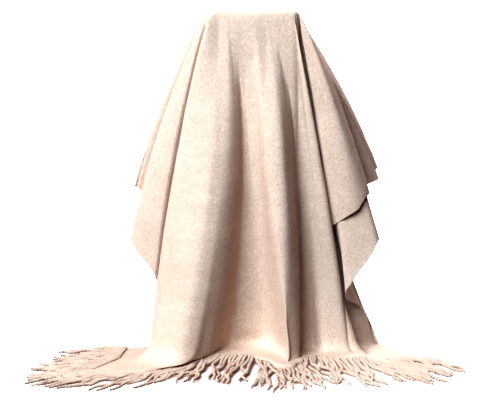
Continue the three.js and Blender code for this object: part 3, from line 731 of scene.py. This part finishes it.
class SHAWL_OT_stage(bpy.types.Operator):
    """Adds the floor, the lights and the camera"""

    bl_idname = "shawl.stage"
    bl_label = "Stage"

    def execute(self, context):
        settings = context.scene.shawl_stage
        half = settings.floor_size / 2
        floor = mesh_object(
            "floor",
            np.array([(-half, -half, 0), (half, -half, 0), (half, half, 0), (-half, half, 0)]) / MM,
            [(0, 1, 2, 3)],
        )
        material = bpy.data.materials.new("pale matt floor")
        material.use_nodes = True
        shader = material.node_tree.nodes["Principled BSDF"]
        shader.inputs["Base Color"].default_value = (*linear("#f7f6f5"), 1)
        shader.inputs["Roughness"].default_value = 0.8
        shader.inputs["Emission Color"].default_value = (1, 1, 1, 1)
        # The floor glows though it is no lamp. Out from the cloth the glow is white, which keeps the floor evenly
        # bright and lifts its shadow. Close under the cloth it is dim warm brown, a painted shadow beneath the hem.
        where = add_node(material.node_tree, "ShaderNodeTexCoord").outputs["Object"]
        away = add_node(material.node_tree, "ShaderNodeVectorMath", {"operation": "LENGTH"}, None, {0: where})
        glow_and_painted_shadow = add_node(
            material.node_tree,
            "ShaderNodeMapRange",
            {"interpolation_type": "SMOOTHSTEP"},
            {"From Min": 0.22, "From Max": 0.37, "To Min": 0.08, "To Max": 0.95},
            {"Value": away.outputs["Value"]},
        )
        material.node_tree.links.new(glow_and_painted_shadow.outputs[0], shader.inputs["Emission Strength"])
        glow = add_node(material.node_tree, "ShaderNodeMix", {"data_type": "RGBA"}, None, {"Factor": glow_and_painted_shadow.outputs[0]})
        # Dim warm brown: the painted shadow colour close under the hem.
        glow.inputs["A"].default_value = (*linear("#8f4f3c"), 1)
        glow.inputs["B"].default_value = (1, 1, 1, 1)
        material.node_tree.links.new(glow.outputs["Result"], shader.inputs["Emission Color"])
        floor.data.materials.append(material)
        floor.visible_diffuse = False
        world = bpy.data.worlds.new("white surround")
        world.use_nodes = True
        tree = world.node_tree
        sky = add_node(tree, "ShaderNodeTexCoord").outputs["Generated"]
        side = add_node(
            tree, "ShaderNodeVectorMath", {"operation": "DOT_PRODUCT"}, {1: (-0.4, 0.9, 0.14)}, {0: sky}
        )
        glow = add_node(
            tree,
            "ShaderNodeMapRange",
            {"interpolation_type": "SMOOTHSTEP"},
            {"From Min": -0.6, "From Max": 0.9, "To Min": 0.045, "To Max": 0.85},
            {"Value": side.outputs["Value"]},
        )
        below = add_node(tree, "ShaderNodeSeparateXYZ", None, None, {"Vector": sky}).outputs["Z"]
        bounce = add_node(
            tree,
            "ShaderNodeMapRange",
            {"interpolation_type": "SMOOTHSTEP"},
            {"From Min": -0.35, "From Max": -0.9, "To Min": 0, "To Max": 0.45},
            {"Value": below},
        )
        fill = add_node(
            tree, "ShaderNodeMath", {"operation": "MAXIMUM"}, None, {0: glow.outputs[0], 1: bounce.outputs[0]}
        )
        seen = add_node(tree, "ShaderNodeLightPath").outputs["Is Camera Ray"]
        power = add_node(tree, "ShaderNodeMix", {"data_type": "FLOAT"}, {"B": settings.world_power})
        tint = add_node(tree, "ShaderNodeMix", {"data_type": "RGBA"})
        warm = add_node(tree, "ShaderNodeMix", {"data_type": "RGBA"}, None, {"Factor": fill.outputs[0]})
        warm.inputs["A"].default_value = (*linear("#ff8a5c"), 1)
        warm.inputs["B"].default_value = (1, 1, 1, 1)
        tree.links.new(warm.outputs["Result"], tint.inputs["A"])
        tint.inputs["B"].default_value = (1, 1, 1, 1)
        background = tree.nodes["Background"]
        for node, socket in ((power, "Strength"), (tint, "Color")):
            tree.links.new(seen, node.inputs["Factor"])
            tree.links.new(node.outputs["Result"], background.inputs[socket])
        tree.links.new(fill.outputs[0], power.inputs["A"])
        context.scene.world = world
        for name, place, side, power in (
            ("key", (-2.0, -3.5, 3.5), 3.6, settings.key_power),
            ("back fill", (2.1, 3.6, 2.4), 2.4, 0.4 * settings.key_power),
        ):
            lamp_data = bpy.data.lights.new(name, "AREA")
            lamp_data.size = side
            lamp_data.energy = power
            lamp_data.color = linear("#dff5ff")
            lamp = bpy.data.objects.new(name, lamp_data)
            lamp.location = place
            aim = np.array([0, 0, 0.35]) - np.array(place)
            tilt = math.atan2(math.hypot(aim[0], aim[1]), -aim[2])
            lamp.rotation_euler = (tilt, 0, math.atan2(aim[1], aim[0]) - math.pi / 2)
            context.collection.objects.link(lamp)
        data = bpy.data.cameras.new("camera")
        data.sensor_width = 36
        data.lens = 72
        camera = bpy.data.objects.new("camera", data)
        camera.location = (-0.004, -2.157, 0.712)
        camera.rotation_euler = (math.radians(90 - 10.43), 0, 0)
        context.collection.objects.link(camera)
        context.scene.camera = camera
        view = context.scene.view_settings
        view.view_transform = "Standard"
        view.exposure = 0.31
        view.gamma = 0.53
        return {"FINISHED"}


class SHAWL_OT_cloth(bpy.types.Operator):
    """Adds the draped cloth and both fringes"""

    bl_idname = "shawl.cloth"
    bl_label = "Cloth and fringes"

    def execute(self, context):
        columns, lands, grid, flat, outer, inner = cloth_mesh()
        verts, faces, places = shell_of(outer, inner, flat)
        cloth = mesh_object("shawl", verts, faces, places)
        cloth.data.materials.append(wool_material("brushed pashmina wool", context.scene.shawl_cloth))
        # The yarn is the same wool with a painted shade: 6 % darker, standing in for its plies shading one another.
        yarn = wool_material("twisted pashmina yarn", context.scene.shawl_cloth, painted_shade=0.94)
        fringe = context.scene.shawl_fringe
        tree = strand_tree(yarn, fringe)
        front = strands_object("fringe_front", hem_strands(columns, lands, grid, True, fringe), tree)
        back = strands_object("fringe_back", hem_strands(columns, lands, grid, False, fringe), tree)
        for piece, nodes, slot in (
            (cloth, ("top_panel", "front_fall", "right_fall", "back_fall", "left_fall"), "cloth"),
            (front, ("front_fringe",), "fringe"),
            (back, ("back_fringe",), "fringe"),
        ):
            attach(piece, "root")
            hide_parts(*nodes)
        return {"FINISHED"}


class SHAWL_OT_plinth(bpy.types.Operator):
    """Paints the plinth"""

    bl_idname = "shawl.plinth"
    bl_label = "Plinth"

    def execute(self, context):
        material = bpy.data.materials.new("matt painted board")
        material.use_nodes = True
        tree = material.node_tree
        shader = tree.nodes["Principled BSDF"]
        where = add_node(tree, "ShaderNodeTexCoord").outputs["Object"]
        orange_peel = add_node(
            tree, "ShaderNodeTexNoise", None, {"Scale": 420, "Detail": 2}, {"Vector": where}
        )
        bump = add_node(
            tree, "ShaderNodeBump", None, {"Strength": 0.15, "Distance": 0.0004}, {"Height": orange_peel.outputs[0]}
        )
        shader.inputs["Base Color"].default_value = (*linear("#f1efec"), 1)
        shader.inputs["Roughness"].default_value = 0.55
        tree.links.new(bump.outputs[0], shader.inputs["Normal"])
        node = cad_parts["plinth"]
        node.data.materials.clear()
        node.data.materials.append(material)
        return {"FINISHED"}


class SHAWL_PT_panel(bpy.types.Panel):
    """Lists the operators and settings"""

    bl_label = "Draped shawl"
    bl_space_type = "VIEW_3D"
    bl_region_type = "UI"
    bl_category = "Shawl"

    def draw(self, context):
        for name in ("shawl.stage", "shawl.cloth", "shawl.plinth"):
            self.layout.operator(name)
        for group in (context.scene.shawl_cloth, context.scene.shawl_fringe, context.scene.shawl_stage):
            for name in group.bl_rna.properties.keys():
                if name not in ("rna_type", "name"):
                    self.layout.prop(group, name)


CLASSES = (
    ShawlSettings,
    FringeSettings,
    StageSettings,
    SHAWL_OT_stage,
    SHAWL_OT_cloth,
    SHAWL_OT_plinth,
    SHAWL_PT_panel,
)
GROUPS = {"shawl_cloth": ShawlSettings, "shawl_fringe": FringeSettings, "shawl_stage": StageSettings}


def register():
    for cls in CLASSES:
        bpy.utils.register_class(cls)
    for name, group in GROUPS.items():
        setattr(bpy.types.Scene, name, bpy.props.PointerProperty(type=group))


def unregister():
    for name in GROUPS:
        delattr(bpy.types.Scene, name)
    for cls in reversed(CLASSES):
        bpy.utils.unregister_class(cls)


def main():
    register()
    bpy.ops.shawl.stage()
    bpy.ops.shawl.cloth()
    bpy.ops.shawl.plinth()


if __name__ == "__main__":
    main()
